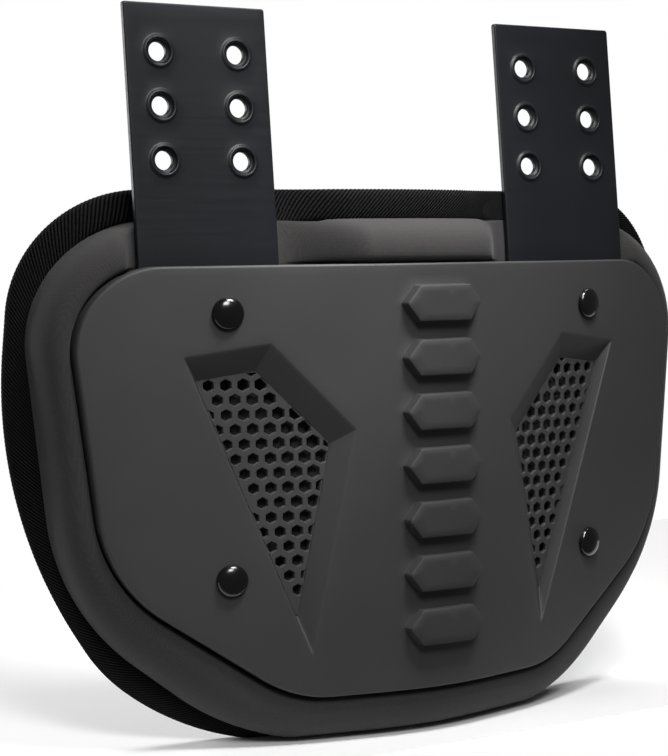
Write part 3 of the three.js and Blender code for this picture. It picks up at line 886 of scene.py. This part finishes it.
def rivet_surface(height):
    """A rivet from its tail to the top of its dome, by (radius, height over the shell's face)."""
    section = [
        (RIVET_TIP, -RIVET_TAIL_END), (RIVET_TAIL, -RIVET_TAIL_END),
        (RIVET_TAIL, -RIVET_TAIL_START), (RIVET_SHANK, -RIVET_TAIL_START),
        (RIVET_SHANK, RIVET_GAP), (RIVET_HEAD - RIVET_BEVEL, RIVET_GAP),
        (RIVET_HEAD, RIVET_GAP + RIVET_LIP), (RIVET_HEAD, RIVET_GAP + RIVET_RIM - RIVET_BEVEL),
    ]
    for angle in np.linspace(0, math.pi / 2, RIVET_DOME_RINGS):
        radius = max(RIVET_TIP, (RIVET_HEAD - RIVET_SHOULDER) * math.cos(angle))
        section.append((radius, RIVET_GAP + RIVET_RIM + RIVET_DOME * math.sin(angle)))
    upward = Vector((0.0, 0.0, 1.0))
    normal = Vector((RIVET_SLOPE, -1.0, 0.0)).normalized()
    side = upward.cross(normal)
    circle = np.linspace(0, 2 * math.pi, RIVET_SIDES, endpoint=False)
    around = np.outer(np.cos(circle), side) + np.outer(np.sin(circle), upward)
    middle = np.array([RIVET_X, RIVET_Y, height])
    return capped([middle + around * radius + np.array(normal) * out for radius, out in section])


# Materials

def new_material(name, roughness):
    material = bpy.data.materials.new(name)
    material.use_nodes = True
    nodes = material.node_tree.nodes
    shader = nodes["Principled BSDF"]
    shader.inputs["Roughness"].default_value = roughness
    return material, nodes, material.node_tree.links, shader


def greys(tones, tint=(1.0, 1.0, 1.0)):
    """Linear colours from screen greys and a tint."""
    linear = [(tone / 255) ** SCREEN_GAMMA for tone in tones]
    return [(value * tint[0], value * tint[1], value * tint[2], 1.0) for value in linear]


def place_node(nodes, links, scale=(1.0, 1.0, 1.0), turn=(0.0, 0.0, 0.0)):
    coordinates = nodes.new("ShaderNodeTexCoord")
    mapping = nodes.new("ShaderNodeMapping")
    mapping.inputs["Scale"].default_value = scale
    mapping.inputs["Rotation"].default_value = turn
    links.new(coordinates.outputs["Object"], mapping.inputs["Vector"])
    return mapping.outputs["Vector"]


def noise_node(nodes, links, place, scale, detail):
    noise = nodes.new("ShaderNodeTexNoise")
    noise.inputs["Scale"].default_value = scale
    noise.inputs["Detail"].default_value = detail
    links.new(place, noise.inputs["Vector"])
    return noise.outputs["Fac"]


def ramp_node(nodes, links, factor, colours, low_at=0.3, high_at=0.7):
    ramp = nodes.new("ShaderNodeValToRGB")
    for element, position, colour in zip(ramp.color_ramp.elements, (low_at, high_at), colours):
        element.position = position
        element.color = colour
    links.new(factor, ramp.inputs["Fac"])
    return ramp.outputs["Color"]


def range_node(nodes, links, value, low, high, low_at=0.3, high_at=0.7):
    spread = nodes.new("ShaderNodeMapRange")
    spread.inputs["From Min"].default_value = low_at
    spread.inputs["From Max"].default_value = high_at
    spread.inputs["To Min"].default_value = low
    spread.inputs["To Max"].default_value = high
    links.new(value, spread.inputs["Value"])
    return spread.outputs["Result"]


def bump_node(nodes, links, height, depth, strength):
    bump = nodes.new("ShaderNodeBump")
    bump.inputs["Distance"].default_value = depth * MM
    bump.inputs["Strength"].default_value = strength
    links.new(height, bump.inputs["Height"])
    return bump.outputs["Normal"]


def math_node(nodes, links, operation, *values):
    node = nodes.new("ShaderNodeMath")
    node.operation = operation
    for socket, value in zip(node.inputs, values):
        if isinstance(value, (int, float)):
            socket.default_value = value
        else:
            links.new(value, socket)
    return node.outputs["Value"]


def plastic(name, colours, roughness, grain, grain_depth, spread=0.05):
    """Moulded plastic: a fine spark-eroded grain and slow changes of tone and gloss."""
    material, nodes, links, shader = new_material(name, roughness)
    place = place_node(nodes, links)
    tone = noise_node(nodes, links, place, scale=14.0, detail=4.0)
    gloss = range_node(nodes, links, tone, low=roughness - spread, high=roughness + spread)
    fine = noise_node(nodes, links, place, scale=grain, detail=3.0)
    links.new(ramp_node(nodes, links, tone, colours), shader.inputs["Base Color"])
    links.new(gloss, shader.inputs["Roughness"])
    links.new(bump_node(nodes, links, fine, depth=grain_depth, strength=0.35), shader.inputs["Normal"])
    return material


def coated(material, weight, roughness):
    """A material with a clear gloss coat over it."""
    shader = material.node_tree.nodes["Principled BSDF"]
    shader.inputs["Coat Weight"].default_value = weight
    shader.inputs["Coat Roughness"].default_value = roughness
    return material


def weave(name, colours):
    """Fine knitted cover over foam: crossed waves of thread, with fuzz over them."""
    material, nodes, links, shader = new_material(name, roughness=0.9)
    place = place_node(nodes, links, turn=(0.0, math.radians(45.0), 0.0))
    split = nodes.new("ShaderNodeSeparateXYZ")
    links.new(place, split.inputs["Vector"])
    across = math_node(nodes, links, "ADD", split.outputs["X"], split.outputs["Y"])
    upward = math_node(nodes, links, "SUBTRACT", split.outputs["Z"], split.outputs["Y"])
    waves = []
    for way in (across, upward):
        turned = math_node(nodes, links, "MULTIPLY", way, 2 * math.pi / (KNIT_PITCH * MM))
        waves.append(math_node(nodes, links, "SINE", turned))
    crossed = math_node(nodes, links, "MULTIPLY", *waves)
    knit = math_node(nodes, links, "MULTIPLY_ADD", crossed, 0.5, 0.5)
    fuzz = noise_node(nodes, links, place_node(nodes, links), scale=900.0, detail=2.0)
    fuzz_part = math_node(nodes, links, "MULTIPLY", fuzz, 1 - KNIT_SHARE)
    tone = math_node(nodes, links, "MULTIPLY_ADD", knit, KNIT_SHARE, fuzz_part)
    links.new(ramp_node(nodes, links, tone, colours, low_at=0.2, high_at=0.8), shader.inputs["Base Color"])
    links.new(bump_node(nodes, links, tone, depth=0.2, strength=0.3), shader.inputs["Normal"])
    shader.inputs["Sheen Weight"].default_value = 0.08
    shader.inputs["Sheen Roughness"].default_value = 0.5
    shader.inputs["Specular IOR Level"].default_value = 0.1
    return material


def twill(name, colours):
    """Ribbed tape: the mesh carries the ribs, and the colour follows them with a painted highlight on their
    crests and painted shade in their grooves.
    """
    material, nodes, links, shader = new_material(name, roughness=0.85)
    ribs = nodes.new("ShaderNodeAttribute")
    ribs.attribute_name = "rib"
    fuzz = noise_node(nodes, links, place_node(nodes, links), scale=1300.0, detail=2.0)
    lift = math_node(nodes, links, "ADD", fuzz, RIB_HIGHLIGHT_BASE)
    # Painted highlight on the rib crests and painted shade in the grooves, broken up by the fuzz
    thread = math_node(nodes, links, "MULTIPLY", ribs.outputs["Fac"], lift)
    tone = ramp_node(nodes, links, thread, colours, low_at=0.15, high_at=0.95)
    links.new(tone, shader.inputs["Base Color"])
    links.new(bump_node(nodes, links, fuzz, depth=0.15, strength=0.4), shader.inputs["Normal"])
    shader.inputs["Specular IOR Level"].default_value = 0.05
    return material


def streaked(name, colours):
    """Satin sheet plastic with faint level drawing streaks."""
    material, nodes, links, shader = new_material(name, roughness=0.42)
    level = place_node(nodes, links, scale=(0.03, 0.03, 1.0))
    streak = noise_node(nodes, links, level, scale=700.0, detail=3.0)
    cloud = noise_node(nodes, links, place_node(nodes, links), scale=22.0, detail=3.0)
    links.new(ramp_node(nodes, links, cloud, colours), shader.inputs["Base Color"])
    links.new(range_node(nodes, links, streak, low=0.38, high=0.46), shader.inputs["Roughness"])
    links.new(bump_node(nodes, links, streak, depth=0.03, strength=0.15), shader.inputs["Normal"])
    shader.inputs["Specular IOR Level"].default_value = 0.25
    return material


shell_plastic = plastic("shell_plastic", greys(SHELL_TONES), roughness=0.55, grain=1500.0, grain_depth=0.05)
grille_plastic = plastic("grille_plastic", greys(GRILLE_TONES), roughness=0.6, grain=1500.0, grain_depth=0.04)
rivet_plastic = plastic("rivet_plastic", greys(RIVET_TONES), roughness=0.2, grain=300.0, grain_depth=0.01)
rivet_plastic = coated(rivet_plastic, weight=0.5, roughness=0.16)
pad_cloth = weave("pad_cloth", greys(PAD_TONES, PAD_TINT))
tape_cloth = twill("tape_cloth", greys(TAPE_SHADE_AND_HIGHLIGHT_TONES))
strap_plastic = streaked("strap_plastic", greys(STRAP_TONES, STRAP_TINT))


# Pieces

def add(piece, node):
    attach(piece, "root")
    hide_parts(node)


add(make_piece("shell_body", shell_surfaces(), shell_plastic), "shell")

pad = make_piece("pad_cover", [pad_surface()], pad_cloth, PAD_SHARP_ANGLE)
add(pad, "pad")

folded_tape, rib_heights = tape_surface()
tape = make_piece("binding_tape", [folded_tape], tape_cloth, TAPE_SHARP_ANGLE)
mark_ribs(tape, folded_tape[0], rib_heights)
add(tape, "binding")

grille_parts = [grille_surface()]
strap_parts = strap_surfaces()
for side in ("right", "left"):
    sided_grille = [handed(part, side) for part in grille_parts]
    grille = make_piece(f"vent_mesh_{side}", sided_grille, grille_plastic, GRILLE_SHARP_ANGLE)
    add(grille, f"vent_grille_{side}")
    strap = make_piece(f"strap_plate_{side}", [handed(part, side) for part in strap_parts], strap_plastic)
    add(strap, f"strap_{side}")
    for level, height in RIVET_HEIGHTS.items():
        rivet = make_piece(f"rivet_head_{level}_{side}", [handed(rivet_surface(height), side)], rivet_plastic)
        add(rivet, f"rivet_{level}_{side}")


# Floor, light and camera

def add_floor():
    (left, front), (right, back) = FLOOR_LOW, FLOOR_HIGH
    corners = [(left, front, 0), (right, front, 0), (right, back, 0), (left, back, 0)]
    mesh = bpy.data.meshes.new("floor")
    mesh.from_pydata(corners, [], [(0, 1, 2, 3)])
    floor = bpy.data.objects.new("floor", mesh)
    bpy.context.scene.collection.objects.link(floor)
    material, nodes, links, shader = new_material("floor_white", roughness=0.9)
    shader.inputs["Base Color"].default_value = FLOOR_COLOUR
    shader.inputs["Specular IOR Level"].default_value = 0.0
    mesh.materials.append(material)


def add_area(name, place, target, size, power, spread):
    data = bpy.data.lights.new(name, "AREA")
    data.shape = "RECTANGLE"
    data.size, data.size_y = size
    data.energy = power
    data.spread = math.radians(spread)
    light = bpy.data.objects.new(name, data)
    light.location = place
    light.rotation_euler = (Vector(target) - Vector(place)).to_track_quat("-Z", "Y").to_euler()
    bpy.context.scene.collection.objects.link(light)


def add_world():
    """A white backdrop that gives only a little light."""
    world = bpy.data.worlds.new("studio")
    world.use_nodes = True
    nodes = world.node_tree.nodes
    links = world.node_tree.links
    light_path = nodes.new("ShaderNodeLightPath")
    brightness = nodes.new("ShaderNodeMix")
    brightness.inputs["A"].default_value = WORLD_LIGHT
    brightness.inputs["B"].default_value = 1.0
    links.new(light_path.outputs["Is Camera Ray"], brightness.inputs["Factor"])
    background = nodes["Background"]
    background.inputs["Color"].default_value = (1.0, 1.0, 1.0, 1.0)
    links.new(brightness.outputs["Result"], background.inputs["Strength"])
    bpy.context.scene.world = world


def add_camera():
    level = math.cos(CAMERA_RISE)
    away = Vector((-math.sin(CAMERA_YAW) * level, -math.cos(CAMERA_YAW) * level, math.sin(CAMERA_RISE)))
    right = Vector((math.cos(CAMERA_YAW), -math.sin(CAMERA_YAW), 0.0))
    up = away.cross(right)
    rolled_right = right * math.cos(CAMERA_ROLL) + up * math.sin(CAMERA_ROLL)
    rolled_up = up * math.cos(CAMERA_ROLL) - right * math.sin(CAMERA_ROLL)
    eye = Vector(shared(CAMERA_TARGET)) + away * CAMERA_DISTANCE * MM
    data = bpy.data.cameras.new("camera")
    data.lens = CAMERA_LENS
    data.clip_start = CAMERA_CLIP * MM
    camera = bpy.data.objects.new("camera", data)
    axes = Matrix((rolled_right, rolled_up, away)).transposed().to_4x4()
    camera.matrix_world = Matrix.Translation(eye) @ axes
    bpy.context.scene.collection.objects.link(camera)
    bpy.context.scene.camera = camera


add_floor()
add_world()
for light_row in LIGHTS:
    add_area(*light_row)
add_camera()
bpy.context.scene.view_settings.view_transform = "Standard"
